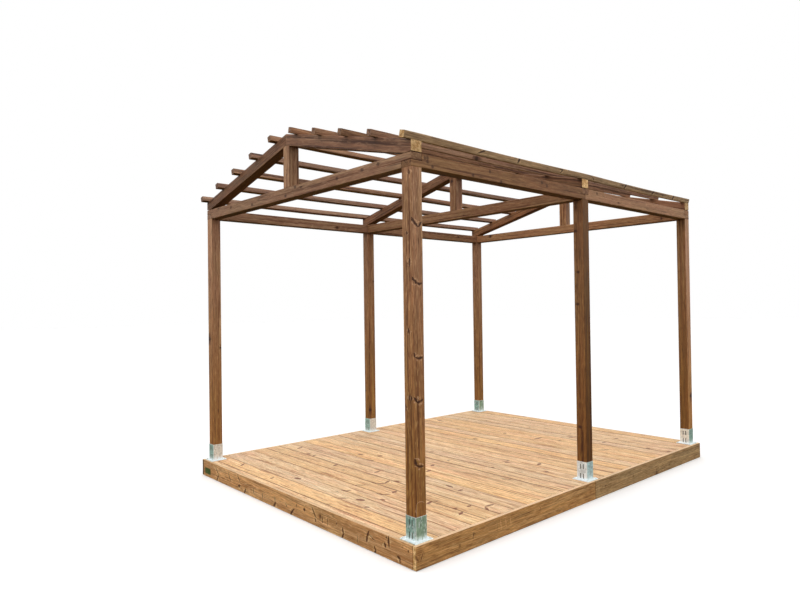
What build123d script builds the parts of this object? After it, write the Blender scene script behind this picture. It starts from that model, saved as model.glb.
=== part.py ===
from build123d import *
from math import cos, radians, sin, tan
import os

# An open timber pergola on a raised deck. Six posts stand in steel shoes, two lines of wall
# plates and three king-post trusses lie on them, and ten purlins cross the rafters.
# X runs across the gables, Y runs along the ridge, Z is up. The origin is on the ground,
# at the centre of the whole outline seen from above. All lengths are millimetres.

# Deck
deck_width = 3000
deck_length = 4000
board_width = 145
board_thickness = 28
board_gap = 5
board_groove = 8
joist_count = 9
joist_width = 45
joist_height = 120
fascia_thickness = 28
fascia_height = 145

# Squared timber: posts, plates, ties, king posts and rafters
timber_width = 90
arris_width = 3
clear_height = 2300
post_inset = 50
lap_depth = 45

# Roof
roof_pitch = 13.5
rafter_end_height = 76
purlin_count = 5
purlin_width = 45
purlin_height = 45
purlin_arris_width = 2
ridge_to_first_purlin = 152
purlin_overhang = 60

# Steel shoes under the posts
shoe_plate_width = 150
shoe_plate_thickness = 4
shoe_plate_radius = 5
shoe_height = 150
shoe_wall = 2
shoe_clearance = 0.5
slot_width = 8
slot_length = 42
slot_spacing = 26
slot_row_spacing = 76
slot_below_top = 40

# Levels
deck_top = joist_height + board_thickness
plate_bottom = deck_top + clear_height
tie_top = plate_bottom + timber_width
tie_split = plate_bottom + lap_depth

# Plan: the outer faces of the posts, and where the middle of the deck lies along Y
half_deck_x = deck_width / 2
half_deck_y = deck_length / 2
face_x = half_deck_x - post_inset
face_y = half_deck_y - post_inset
front_reach = max(half_deck_y, face_y + purlin_overhang)
middle_y = (front_reach - half_deck_y) / 2
front_y = middle_y - half_deck_y
back_y = middle_y + half_deck_y
truss_y = {
    "front": middle_y - face_y + timber_width / 2,
    "middle": middle_y,
    "back": middle_y + face_y - timber_width / 2,
}
side_sign = {"right": 1, "left": -1}
post_x = face_x - timber_width / 2

# Roof slope: the line of the rafters' upper faces
rise = tan(radians(roof_pitch))
lean_cos = cos(radians(roof_pitch))
lean_sin = sin(radians(roof_pitch))
rafter_plumb_depth = timber_width / lean_cos
ridge_top = tie_top + rafter_end_height + face_x * rise
seat_length = (rafter_plumb_depth - rafter_end_height) / rise

os.makedirs("parts", exist_ok=True)


def save(piece, name):
    """Name the finished piece and write it to its own file."""
    piece.part.label = name
    export_step(piece.part, f"parts/{name}.step")


def section_plane(x, y, z):
    """A plane that faces the front gable, with its own x across and its own y up."""
    return Plane(origin=(x, y, z), x_dir=(1, 0, 0), z_dir=(0, -1, 0))


# Joists run along the deck and carry everything, on the ground
joist_length = deck_length - 2 * fascia_thickness
joist_span = deck_width - 2 * fascia_thickness - joist_width
joist_step = joist_span / (joist_count - 1)
with BuildPart() as deck_joists:
    with BuildSketch():
        with Locations((0, middle_y)):
            with GridLocations(joist_step, 0, joist_count, 1):
                Rectangle(joist_width, joist_length)
    extrude(amount=joist_height)
save(deck_joists, "deck_joists")

# Deck surface: the boards cross the joists, marked by the grooves between them.
# Whole boards start at the back, and the last one at the front is cut narrow.
board_pitch = board_width + board_gap
boards_length = deck_length - 2 * fascia_thickness
groove_count = int(boards_length // board_pitch)
back_inner_y = back_y - fascia_thickness
with BuildPart() as deck_boards:
    with BuildSketch(Plane.XY.offset(joist_height)):
        with Locations((0, middle_y)):
            Rectangle(deck_width - 2 * fascia_thickness, boards_length)
    extrude(amount=board_thickness)
    with BuildSketch(Plane.XY.offset(deck_top)):
        for index in range(1, groove_count + 1):
            with Locations((0, back_inner_y - index * board_pitch + board_gap / 2)):
                Rectangle(deck_width - 2 * fascia_thickness, board_gap)
    extrude(amount=-board_groove, mode=Mode.SUBTRACT)
save(deck_boards, "deck_boards")

# Side fascias run the full length in two boards that meet at the middle posts
fascia_bottom = deck_top - fascia_height
side_board_length = half_deck_y
for side, sign in side_sign.items():
    for part_name, direction in (("front", -1), ("back", 1)):
        with BuildPart() as side_fascia:
            with BuildSketch(Plane.XY.offset(fascia_bottom)):
                with Locations((
                    sign * (half_deck_x - fascia_thickness / 2),
                    middle_y + direction * side_board_length / 2,
                )):
                    Rectangle(fascia_thickness, side_board_length)
            extrude(amount=fascia_height)
        save(side_fascia, f"fascia_{side}_{part_name}")

# End fascias fit between the side ones
for end, fascia_y in (("front", front_y + fascia_thickness / 2), ("back", back_y - fascia_thickness / 2)):
    with BuildPart() as end_fascia:
        with BuildSketch(Plane.XY.offset(fascia_bottom)):
            with Locations((0, fascia_y)):
                Rectangle(deck_width - 2 * fascia_thickness, fascia_thickness)
        extrude(amount=fascia_height)
    save(end_fascia, f"fascia_{end}")

# Steel shoes: a sleeve folded round the post on a square plate, slotted on the two faces that
# look along the ridge. The sleeve's corners are bent to the same size as the post's eased edges.
sleeve_inside = timber_width + 2 * shoe_clearance
sleeve_outside = sleeve_inside + 2 * shoe_wall
sleeve_inner_radius = arris_width
sleeve_outer_radius = arris_width + shoe_wall
slot_middle = deck_top + shoe_height - slot_below_top - slot_row_spacing / 2
for side, sign in side_sign.items():
    for place, y in truss_y.items():
        with BuildPart() as shoe:
            with BuildSketch(Plane.XY.offset(deck_top)):
                with Locations((sign * post_x, y)):
                    RectangleRounded(shoe_plate_width, shoe_plate_width, shoe_plate_radius)
            extrude(amount=shoe_plate_thickness)
            with BuildSketch(Plane.XY.offset(deck_top + shoe_plate_thickness)):
                with Locations((sign * post_x, y)):
                    RectangleRounded(sleeve_outside, sleeve_outside, sleeve_outer_radius)
                    RectangleRounded(
                        sleeve_inside, sleeve_inside, sleeve_inner_radius, mode=Mode.SUBTRACT
                    )
            extrude(amount=shoe_height - shoe_plate_thickness)
            with BuildSketch(section_plane(sign * post_x, y, slot_middle)):
                with GridLocations(slot_spacing, slot_row_spacing, 2, 2):
                    SlotOverall(slot_length, slot_width, rotation=90)
            extrude(amount=sleeve_outside, both=True, mode=Mode.SUBTRACT)
        save(shoe, f"post_shoe_{side}_{place}")

# Posts with eased long edges, standing on the shoes' plates
post_foot = deck_top + shoe_plate_thickness
for side, sign in side_sign.items():
    for place, y in truss_y.items():
        with BuildPart() as post:
            with BuildSketch(Plane.XY.offset(post_foot)):
                with Locations((sign * post_x, y)):
                    section = Rectangle(timber_width, timber_width)
                chamfer(section.vertices(), arris_width)
            extrude(amount=plate_bottom - post_foot)
        save(post, f"post_{side}_{place}")

# Wall plates: two a side, halved from above under the ties, butted on the middle posts
plate_middle = plate_bottom + timber_width / 2
for side, sign in side_sign.items():
    for part_name, outer_y in (("front", middle_y - face_y), ("back", middle_y + face_y)):
        with BuildPart() as wall_plate:
            with BuildSketch(section_plane(sign * post_x, max(outer_y, middle_y), plate_middle)):
                section = Rectangle(timber_width, timber_width)
                chamfer(section.vertices(), arris_width)
            extrude(amount=face_y)
            toward_end = 1 if outer_y > middle_y else -1
            with BuildSketch(Plane.XY.offset(tie_split)):
                with Locations((sign * post_x, truss_y[part_name])):
                    Rectangle(timber_width, timber_width)
                with Locations((sign * post_x, middle_y + toward_end * timber_width / 4)):
                    Rectangle(timber_width, timber_width / 2)
            extrude(amount=timber_width, mode=Mode.SUBTRACT)
        save(wall_plate, f"wall_plate_{side}_{part_name}")

# Tie beams: their lower half is cut away over the plates, the upper half runs right through
for place, y in truss_y.items():
    with BuildPart() as tie:
        with BuildSketch(Plane(origin=(-face_x, y, plate_middle), x_dir=(0, 1, 0), z_dir=(1, 0, 0))):
            section = Rectangle(timber_width, timber_width)
            chamfer(section.vertices(), arris_width)
        extrude(amount=2 * face_x)
        with BuildSketch(Plane.XY.offset(tie_split)):
            with Locations((-post_x, y), (post_x, y)):
                Rectangle(timber_width, timber_width)
        extrude(amount=-timber_width, mode=Mode.SUBTRACT)
    save(tie, f"tie_beam_{place}")

# Rafters: seat-cut on the tie, plumb-cut at both ends, meeting on the centre line,
# with the edges that run down the slope eased
for place, y in truss_y.items():
    for side, sign in side_sign.items():
        slope_line = Axis((0, 0, ridge_top), (lean_cos, 0, -sign * lean_sin))
        with BuildPart() as rafter:
            with BuildSketch(section_plane(0, y + timber_width / 2, 0)):
                with BuildLine():
                    Polyline(
                        (sign * face_x, tie_top),
                        (sign * face_x, tie_top + rafter_end_height),
                        (0, ridge_top),
                        (0, ridge_top - rafter_plumb_depth),
                        (sign * (face_x - seat_length), tie_top),
                        close=True,
                    )
                make_face()
            extrude(amount=timber_width)
            chamfer(rafter.edges().filter_by(slope_line), arris_width)
        save(rafter, f"rafter_{place}_{side}")

# King posts: from the tie up into the angle under the rafters
shoulder = ridge_top - rafter_plumb_depth - timber_width / 2 * rise
for place, y in truss_y.items():
    with BuildPart() as king_post:
        with BuildSketch(section_plane(0, y + timber_width / 2, 0)):
            with BuildLine():
                Polyline(
                    (-timber_width / 2, tie_top),
                    (timber_width / 2, tie_top),
                    (timber_width / 2, shoulder),
                    (0, ridge_top - rafter_plumb_depth),
                    (-timber_width / 2, shoulder),
                    close=True,
                )
            make_face()
        extrude(amount=timber_width)
        chamfer(king_post.edges().filter_by(Axis.Z), arris_width)
    save(king_post, f"king_post_{place}")

# Purlins lie square on the slope and run past the front truss.
# The outermost one has its lower edge over the rafter's end, and the rest are evenly spaced.
purlin_back_y = middle_y + face_y
purlin_length = 2 * face_y + purlin_overhang
ridge_to_last_purlin = face_x - purlin_width / 2 * lean_cos
purlin_spacing = (ridge_to_last_purlin - ridge_to_first_purlin) / (purlin_count - 1)
for side, sign in side_sign.items():
    for number in range(1, purlin_count + 1):
        x = ridge_to_first_purlin + (number - 1) * purlin_spacing
        slope_plane = Plane(
            origin=(sign * x, purlin_back_y, ridge_top - x * rise),
            x_dir=(lean_cos, 0, -sign * lean_sin),
            z_dir=(0, -1, 0),
        )
        with BuildPart() as purlin:
            with BuildSketch(slope_plane):
                section = Rectangle(purlin_width, purlin_height, align=(Align.CENTER, Align.MIN))
                chamfer(section.vertices(), purlin_arris_width)
            extrude(amount=purlin_length)
        save(purlin, f"purlin_{side}_{number}")
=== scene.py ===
# %% [markdown]
# A garden pergola: a gabled frame of squared timber that stands in steel shoes on a raised deck.
# The measured solids come first. They say where every timber lies, to the millimetre, so this
# lesson never guesses a place: it copies each solid, wears its edges and gives it grown wood.

# %% Open the measured frame
import bmesh
import bpy
import math
import random
from mathutils import Matrix, Vector


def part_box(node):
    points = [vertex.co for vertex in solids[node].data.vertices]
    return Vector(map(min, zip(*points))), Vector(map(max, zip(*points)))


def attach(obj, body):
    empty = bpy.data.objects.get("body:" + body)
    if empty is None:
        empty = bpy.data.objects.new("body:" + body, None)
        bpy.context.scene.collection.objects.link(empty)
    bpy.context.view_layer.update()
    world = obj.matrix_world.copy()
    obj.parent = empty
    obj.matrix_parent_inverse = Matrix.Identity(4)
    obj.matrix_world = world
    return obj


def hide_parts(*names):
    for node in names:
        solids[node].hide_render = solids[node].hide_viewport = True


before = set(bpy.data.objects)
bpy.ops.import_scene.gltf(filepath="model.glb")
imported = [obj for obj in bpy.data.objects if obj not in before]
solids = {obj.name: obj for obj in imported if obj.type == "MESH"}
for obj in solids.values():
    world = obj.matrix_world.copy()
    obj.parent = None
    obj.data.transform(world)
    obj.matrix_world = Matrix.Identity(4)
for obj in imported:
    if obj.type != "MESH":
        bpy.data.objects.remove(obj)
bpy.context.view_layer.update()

# %% [markdown]
# The camera stands off the front right corner, a little below head height. Its place and turn
# were fitted to the corners of the posts and the deck, so it is typed in as numbers. A wide lens
# of about 28 mm close by gives the strong narrowing of the deck towards the back.

# %% Set up the camera
camera_place = Vector((4.2108, -4.5042, 1.5813))
camera_yaw = 0.84427
camera_pitch = 0.011847
camera_roll = -0.013138
look = Vector((
    -math.sin(camera_yaw) * math.cos(camera_pitch),
    math.cos(camera_yaw) * math.cos(camera_pitch),
    math.sin(camera_pitch),
))
level_right = look.cross(Vector((0, 0, 1))).normalized()
level_up = level_right.cross(look)
right = level_right * math.cos(camera_roll) + level_up * math.sin(camera_roll)
up = level_up * math.cos(camera_roll) - level_right * math.sin(camera_roll)
turn = Matrix((right, up, -look)).transposed().to_4x4()
camera_data = bpy.data.cameras.new("camera")
camera_data.sensor_width = 36
camera_data.lens = 27.72
camera = bpy.data.objects.new("camera", camera_data)
camera.matrix_world = Matrix.Translation(camera_place) @ turn
bpy.context.scene.collection.objects.link(camera)
bpy.context.scene.camera = camera
print("camera looks along", [round(v, 3) for v in look])

# %% [markdown]
# Materials, worlds and pattern trees are all made of nodes. Small helpers lay a node, do a sum,
# fade a value between two limits and so on, so that the recipes below read like recipes.

# %% Helpers for laying nodes


def feed(node, feeds):
    """Give a node's sockets their values, or link them to the sockets that feed them."""
    for socket, value in feeds.items():
        if isinstance(value, bpy.types.NodeSocket):
            node.id_data.links.new(value, node.inputs[socket])
        else:
            node.inputs[socket].default_value = value


def lay(tree, kind, feeds=None, **settings):
    """Put one node in a tree, set its options, then feed its sockets."""
    node = tree.nodes.new(kind)
    for option, value in settings.items():
        setattr(node, option, value)
    feed(node, feeds or {})
    return node


def follow(kind, feeds, **settings):
    """Lay a node in the tree that its feeds come from."""
    tree = next(value.id_data for value in feeds.values() if isinstance(value, bpy.types.NodeSocket))
    return lay(tree, kind, feeds, **settings)


def math_helper(operation):
    """A helper that lays one Math node of this kind."""
    def helper(*values):
        return follow("ShaderNodeMath", dict(enumerate(values)), operation=operation).outputs[0]
    return helper


plus, minus, times, over = map(math_helper, ("ADD", "SUBTRACT", "MULTIPLY", "DIVIDE"))
times_plus, absolute, fraction, sine = map(math_helper, ("MULTIPLY_ADD", "ABSOLUTE", "FRACT", "SINE"))
larger, smaller = map(math_helper, ("MAXIMUM", "MINIMUM"))
more_than, less_than = map(math_helper, ("GREATER_THAN", "LESS_THAN"))


def vector_sum(operation, *values):
    """One Vector Math node; a length, a distance or a dot product comes out as a number."""
    node = follow("ShaderNodeVectorMath", dict(enumerate(values)), operation=operation)
    return node.outputs["Value" if operation in ("LENGTH", "DISTANCE", "DOT_PRODUCT") else "Vector"]


def scaled(colour, amount):
    """Scale a colour or another vector by one number."""
    return follow("ShaderNodeVectorMath", {0: colour, "Scale": amount}, operation="SCALE").outputs[0]


def parts_of(vector):
    """The three parts of a vector."""
    return follow("ShaderNodeSeparateXYZ", {0: vector}).outputs


def vector_of(x=0.0, y=0.0, z=0.0):
    """A vector from its three parts."""
    return follow("ShaderNodeCombineXYZ", {0: x, 1: y, 2: z}).outputs[0]


def fade(value, low, high, to_low=0.0, to_high=1.0):
    """Turn low into to_low and high into to_high, softly, and hold still outside them."""
    feeds = {"Value": value, "From Min": low, "From Max": high, "To Min": to_low, "To Max": to_high}
    return follow("ShaderNodeMapRange", feeds, interpolation_type="SMOOTHSTEP").outputs[0]


def blended(amount, first, second, how="MIX"):
    """Mix two colours."""
    feeds = {0: amount, 6: first, 7: second}
    return follow("ShaderNodeMix", feeds, data_type="RGBA", blend_type=how).outputs[2]


def stretched(vector, *scale):
    """Scale a vector's three parts, which stretches a pattern along the grain."""
    return vector_sum("MULTIPLY", vector, scale)


def cloudy(vector, detail=2.0, roughness=0.5):
    """Noise from 0 to 1 at the vector's own scale."""
    feeds = {"Vector": vector, "Scale": 1.0, "Detail": detail, "Roughness": roughness}
    return follow("ShaderNodeTexNoise", feeds)


def cloud(vector, scale, detail=2.0, roughness=0.5):
    """Grey noise on a stretched vector."""
    return cloudy(stretched(vector, *scale), detail, roughness).outputs[0]


def add_inputs(tree, sizes):
    """Name a group's inputs; the form of each first value says which kind of input it needs."""
    by_type = {float: "Float", int: "Int"}
    by_length = {4: "Color", 3: "Vector", 0: "Material"}
    identifiers = {}
    for label, value in sizes.items():
        kind = by_type.get(type(value)) or by_length[len(value)]
        socket = tree.interface.new_socket(label, in_out="INPUT", socket_type="NodeSocket" + kind)
        if kind != "Material":
            socket.default_value = value
        identifiers[label] = socket.identifier
    return identifiers


def add_outputs(tree, kind, *labels):
    """Name a group's outputs of one kind."""
    for label in labels:
        tree.interface.new_socket(label, in_out="OUTPUT", socket_type="NodeSocket" + kind)


def new_finish(name):
    """A new material and its shader."""
    finish = bpy.data.materials.new(name)
    finish.use_nodes = True
    return finish, finish.node_tree.nodes["Principled BSDF"]


print("helpers for sums, vectors, fades, mixes, noise and new finishes")

# %% [markdown]
# Overcast daylight falls from the whole sky at once, so nothing throws a hard shadow: tops are
# about twice as bright as sides, and undersides are nearly black. A world whose colour depends on
# height does this: bright above the horizon, and dark brown below it. The floor is left out of
# the bounced light, because a white floor would light the undersides of the rafters.

# %% Light the scene
scene = bpy.context.scene
scene.view_settings.view_transform = "Standard"
world = bpy.data.worlds.new("overcast")
scene.world = world
world.use_nodes = True
sky = world.node_tree
sky.nodes.clear()
sky_direction = lay(sky, "ShaderNodeTexCoord").outputs["Generated"]
sky_height = parts_of(sky_direction)["Z"]
sky_share = fade(sky_height, -0.05, 0.03)
sky_zenith = fade(sky_height, 0.0, 1.0)
sky_bright = blended(sky_zenith, (1.50, 1.42, 1.29, 1), (0.73, 0.765, 0.81, 1))
sky_colour = blended(sky_share, (0.050, 0.042, 0.028, 1), sky_bright)
seen_by_camera = lay(sky, "ShaderNodeLightPath").outputs["Is Camera Ray"]
sky_light = lay(sky, "ShaderNodeBackground", {"Color": sky_colour, "Strength": 1.0})
sky_backdrop = lay(sky, "ShaderNodeBackground", {"Color": (1, 1, 1, 1), "Strength": 1.0})
sky_feeds = {0: seen_by_camera, 1: sky_light.outputs[0], 2: sky_backdrop.outputs[0]}
sky_mix = lay(sky, "ShaderNodeMixShader", sky_feeds)
lay(sky, "ShaderNodeOutputWorld", {"Surface": sky_mix.outputs[0]})

soft_light = bpy.data.lights.new("soft_overhead", "AREA")
soft_light.shape = "RECTANGLE"
soft_light.size = 7.0
soft_light.size_y = 7.0
soft_light.energy = 300
overhead = bpy.data.objects.new("soft_overhead", soft_light)
overhead.matrix_world = Matrix.Translation((0.8, -2.0, 9.0))
scene.collection.objects.link(overhead)

floor_mesh = bpy.data.meshes.new("floor")
reach = 60.0
floor_corners = [(-reach, -reach, 0), (reach, -reach, 0), (reach, reach, 0), (-reach, reach, 0)]
floor_mesh.from_pydata(floor_corners, [], [(0, 1, 2, 3)])
floor = bpy.data.objects.new("floor", floor_mesh)
scene.collection.objects.link(floor)
floor.visible_diffuse = False
floor.visible_glossy = False
floor_finish, floor_shader = new_finish("pale_floor")
feed(floor_shader, {
    "Base Color": (0.93, 0.93, 0.93, 1), "Roughness": 0.9, "Specular IOR Level": 0.1,
    "Emission Color": (1, 1, 1, 1), "Emission Strength": 0.14,
})
floor_mesh.materials.append(floor_finish)
print("world, one soft light and a pale floor")

# %% [markdown]
# Wood is a stack of cones round a pith, and everything on its surface follows from that. So each
# timber carries a vector called grain: metres along the member, and metres across it measured
# from where its pith runs. The distance from the pith gives the year rings, which then agree
# between a face and an end. Knots are branches that grew out of the pith, so they are cells in
# the length and the direction round the pith. Fibres and drying cracks are noise stretched along
# the length. One group holds all this, and each finish only chooses its colours and amounts.

# %% Build the wood pattern
wood = bpy.data.node_groups.new("grown_wood", "ShaderNodeTree")
wood_inputs = {
    "Early wood": (0.4, 0.2, 0.1, 1), "Late wood": (0.2, 0.1, 0.05, 1),
    "Pale streak": (0.5, 0.3, 0.15, 1), "Dark streak": (0.15, 0.06, 0.03, 1),
    "Knot": (0.1, 0.04, 0.02, 1), "Stain": (0.2, 0.12, 0.07, 1), "Ring width": 0.005, "Rings": 0.5,
    "Streaks": 0.6, "Fibre": 0.3, "Knots": 0.5, "Knot size": 0.10, "Cracks": 0.5, "Stained": 0.3,
    "End light": -0.15, "Edge dirt and shade": 0.0, "Piece to piece": 0.12, "Hue spread": 0.12,
    "Streak length": 1.1, "Dark from": 0.49, "Ring bend": 0.012, "Warm foot": 0.0, "Bleached top": 0.0,
    "Dark below": -1.0, "Flecks": 0.35, "Fresh ends": 0.0, "Dark under": 0.8,
    "Bleached": (0.79, 0.54, 0.325, 1),
}
add_inputs(wood, wood_inputs)
add_outputs(wood, "Color", "Colour")
add_outputs(wood, "Float", "Height", "Roughness")
given = lay(wood, "NodeGroupInput").outputs
grain = lay(wood, "ShaderNodeAttribute", attribute_name="grain").outputs["Vector"]
tone = lay(wood, "ShaderNodeAttribute", attribute_name="tone").outputs["Vector"]
end_cut = lay(wood, "ShaderNodeAttribute", attribute_name="end_cut").outputs["Fac"]
edge_place = lay(wood, "ShaderNodeAttribute", attribute_name="edge_place").outputs["Fac"]
surface_place = lay(wood, "ShaderNodeTexCoord").outputs["Object"]
above_ground = parts_of(surface_place)["Z"]
surface_facing = lay(wood, "ShaderNodeNewGeometry").outputs["True Normal"]
facing_height = parts_of(surface_facing)["Z"]
faces_up = more_than(facing_height, 0.7)
faces_down = less_than(facing_height, -0.7)
near_black = (0.012, 0.006, 0.004, 1)

# The pith wanders a little along the trunk, which draws the long arches on a flat face
along_only = stretched(grain, 0.9, 0.0, 0.0)
wander = vector_sum("SUBTRACT", cloudy(along_only).outputs[1], (0.5, 0.5, 0.5))
wandered = vector_sum("MULTIPLY_ADD", wander, (0.0, 0.06, 0.06), grain)
part = parts_of(wandered)
across_only = vector_of(y=part[1], z=part[2])
from_pith = vector_sum("LENGTH", across_only)
round_pith = vector_sum("NORMALIZE", across_only)

# Knots: cells on the length and the direction, some of them empty, roughened at their rims
knot_pitch = 0.11
knot_turn = 0.46
knot_round = stretched(round_pith, 0.0, knot_turn, knot_turn)
knot_length = over(part[0], knot_pitch)
knot_along = vector_of(x=knot_length)
knot_place = vector_sum("ADD", knot_round, knot_along)
knot_feeds = {"Vector": knot_place, "Scale": 1.0, "Randomness": 1.0}
knot_cells = lay(wood, "ShaderNodeTexVoronoi", knot_feeds, voronoi_dimensions="3D")
knot_dice = lay(wood, "ShaderNodeSeparateColor", {0: knot_cells.outputs["Color"]}).outputs
knot_there = less_than(knot_dice[0], given["Knots"])
knot_scale = times(times_plus(knot_dice[1], 0.9, 0.5), given["Knot size"])
knot_rough = cloud(grain, (90, 90, 90), detail=2.0)
knot_wavy = times_plus(minus(knot_rough, 0.5), 0.09, knot_cells.outputs["Distance"])
knot_reach = over(knot_wavy, knot_scale)
knot_offset = vector_sum("SUBTRACT", knot_place, knot_cells.outputs["Position"])
knot_long = stretched(knot_offset, 0.22, 1.0, 1.0)
knot_far = vector_sum("LENGTH", knot_long)
tail_reach = over(times_plus(knot_rough, 0.05, knot_far), knot_scale)
knot_core = times(fade(knot_reach, 1.0, 0.7), knot_there)
knot_halo = times(fade(knot_reach, 3.6, 0.9), knot_there)
knot_tail = times(fade(tail_reach, 1.5, 0.5), knot_there)
rim_outer = fade(knot_reach, 1.3, 1.0)
rim_inner = fade(knot_reach, 0.95, 0.62)
rim_part = times(minus(rim_outer, rim_inner), fade(knot_rough, 0.38, 0.6))
knot_rim = times(rim_part, knot_there)

# Year rings bend round the knots
rough_rings = times(cloud(grain, (1.6, 30, 30)), 0.006)
ring_bent = times_plus(knot_halo, given["Ring bend"], from_pith)
ring_place = plus(ring_bent, rough_rings)
ring_phase = fraction(over(ring_place, given["Ring width"]))
late_share = times(fade(ring_phase, 0.25, 0.88), fade(ring_phase, 1.0, 0.9))

# Streaks of darker and paler wood, fibres, drying cracks, and cloudy stains
streak_rate = over(1.0, given["Streak length"])
streak_scale = vector_of(x=streak_rate, y=1.0, z=1.0)
streak_place = vector_sum("MULTIPLY", grain, streak_scale)
dark_cloud = cloud(streak_place, (1.0, 52, 52), detail=3.0, roughness=0.55)
pale_cloud = cloud(streak_place, (0.8, 38, -38), detail=3.0, roughness=0.55)
dark_full = plus(given["Dark from"], 0.17)
dark_streak = times(fade(dark_cloud, given["Dark from"], dark_full), given["Streaks"])
pale_streak = times(fade(pale_cloud, 0.50, 0.68), given["Streaks"])
fibre = cloud(grain, (6.0, 230, 230), detail=3.0, roughness=0.65)
crack_line = cloud(grain, (1.3, 34, 34), detail=1.0)
crack_near = absolute(minus(crack_line, 0.5))
crack_where = cloud(grain, (2.3, 9, 9), detail=1.0)
crack_open = times(fade(crack_where, 0.53, 0.66), given["Cracks"])
crack = times(fade(crack_near, 0.014, 0.004), crack_open)
fleck_cloud = cloud(grain, (16, 115, 115), detail=2.0)
dark_fleck = times(fade(fleck_cloud, 0.56, 0.68), given["Flecks"])
pale_fleck = times(fade(fleck_cloud, 0.44, 0.34), given["Flecks"])
stain_cloud = cloud(grain, (1.7, 8, 8), detail=4.0, roughness=0.62)
stain = times(fade(stain_cloud, 0.42, 0.66), given["Stained"])

# Put the colours together, from the wood outwards
stained = blended(stain, given["Early wood"], given["Stain"])
paled = blended(pale_streak, stained, given["Pale streak"])
ringed = blended(times(late_share, given["Rings"]), paled, given["Late wood"])
streaked = blended(dark_streak, ringed, given["Dark streak"])
fleck_lit = blended(pale_fleck, streaked, given["Pale streak"])
flecked = blended(dark_fleck, fleck_lit, given["Dark streak"])
fibre_centred = minus(fibre, 0.5)
fibre_light = times_plus(fibre_centred, times(given["Fibre"], 3.0), 1.0)
tone_part = parts_of(tone)
tone_light = times_plus(tone_part[0], given["Piece to piece"], 1.0)
warm = times(tone_part[1], given["Hue spread"])
red_share = times_plus(warm, 0.35, 1.0)
blue_share = times_plus(warm, -0.8, 1.0)
tone_tint = lay(wood, "ShaderNodeCombineColor", {0: red_share, 1: 1.0, 2: blue_share}).outputs[0]
end_shade = times_plus(end_cut, given["End light"], 1.0)
light_sum = times(times(fibre_light, tone_light), end_shade)
lit = scaled(flecked, light_sum)
toned = blended(1.0, lit, tone_tint, "MULTIPLY")
foot_share = times(fade(above_ground, 2.4, 0.2), given["Warm foot"])
foot_tint = blended(foot_share, (1.0, 1.0, 1.0, 1), (0.87, 0.755, 0.38, 1))
footed = blended(1.0, toned, foot_tint, "MULTIPLY")
# Painted shade: faces that look down are darkened towards olive black, as shade under the timber.
painted_under_tint = blended(times(faces_down, given["Dark under"]), (1, 1, 1, 1), (0.87, 0.93, 0.38, 1))
shaded = blended(1.0, footed, painted_under_tint, "MULTIPLY")
# Painted light: faces that look up are lightened towards a pale colour, standing in for the sky's light.
painted_skylight_wood = scaled(given["Bleached"], fibre_light)
bleached = blended(times(faces_up, given["Bleached top"]), shaded, painted_skylight_wood)
tailed = blended(times(knot_tail, 0.85), bleached, given["Dark streak"])
knotted = blended(times(knot_core, 0.8), tailed, given["Knot"])
rimmed = blended(times(knot_rim, 0.8), knotted, near_black)
# Dirt and painted shade: a board's long edges darken towards the gaps between the boards.
edge_share = fade(absolute(edge_place), 0.92, 0.975)
edge_amount = times(given["Edge dirt and shade"], times_plus(tone_part[2], 0.9, 0.35))
edged = blended(times(edge_share, edge_amount), rimmed, given["Knot"])
fresh_cloud = cloud(grain, (40, 40, 40), detail=3.0, roughness=0.6)
fresh_pale = blended(fade(fresh_cloud, 0.38, 0.62), (0.50, 0.27, 0.095, 1), (0.86, 0.59, 0.29, 1))
fresh_wood = blended(times(late_share, 0.5), fresh_pale, (0.36, 0.18, 0.055, 1))
fresh_light = times(fibre_light, tone_light)
fresh_lit = scaled(fresh_wood, fresh_light)
freshened = blended(times(end_cut, given["Fresh ends"]), edged, fresh_lit)
cracked = blended(crack, freshened, near_black)
# Painted shade: below a given height, inside the post's shoe, the wood is darkened to near black.
painted_foot_shade = times(less_than(above_ground, given["Dark below"]), 0.85)
darkened = blended(painted_foot_shade, cracked, near_black)
height_rings = times(late_share, 0.00012)
height_fibre = times_plus(fibre, 0.0004, height_rings)
height_sum = times_plus(crack, -0.0012, height_fibre)
rough_sum = times_plus(fibre, 0.3, 0.48)
lay(wood, "NodeGroupOutput", {"Colour": darkened, "Height": height_sum, "Roughness": rough_sum})
print("wood pattern of", len(wood.nodes), "nodes")

# %% [markdown]
# Some marks are the timber's own story and can't come from noise: the long whorls where a branch
# was cut close, or a split at the end of a board. Each is one bent stroke: where its middle is,
# which way it runs, which way the face looks, half its length and width, and how much it bends.
# The group gives a soft mask; a finish adds up as many strokes as it needs.

# %% Make a brush for single marks
brush = bpy.data.node_groups.new("stroke", "ShaderNodeTree")
brush_inputs = {
    "Place": (0, 0, 0), "Ragged": 0.0, "Flecks": 0.0, "Middle": (0, 0, 0), "Along": (0, 0, 0),
    "Facing": (0, 0, 0), "Half length": 0.0, "Half width": 0.0, "Bend": 0.0,
}
add_inputs(brush, brush_inputs)
add_outputs(brush, "Float", "Mask", "Pale")
held = lay(brush, "NodeGroupInput").outputs
brush_offset = vector_sum("SUBTRACT", held["Place"], held["Middle"])
brush_across = vector_sum("CROSS_PRODUCT", held["Facing"], held["Along"])
run = over(vector_sum("DOT_PRODUCT", brush_offset, held["Along"]), held["Half length"])
lift = vector_sum("DOT_PRODUCT", brush_offset, brush_across)
depth = vector_sum("DOT_PRODUCT", brush_offset, held["Facing"])
bow = times(times(run, run), held["Bend"])
sway = times_plus(held["Ragged"], 0.014, minus(lift, bow))
taper = minus(1.15, times(run, run))
width_here = times(held["Half width"], larger(taper, 0.05))
beside = over(absolute(sway), width_here)
on_face = less_than(absolute(depth), 0.008)
within = less_than(absolute(run), 1.05)
here = times(on_face, within)
stroke_mask = times(fade(beside, 1.15, 0.45), here)
pale_band = fade(absolute(minus(beside, 1.9)), 0.9, 0.3)
stroke_pale = times(times(pale_band, held["Flecks"]), here)
lay(brush, "NodeGroupOutput", {"Mask": stroke_mask, "Pale": stroke_pale})


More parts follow.
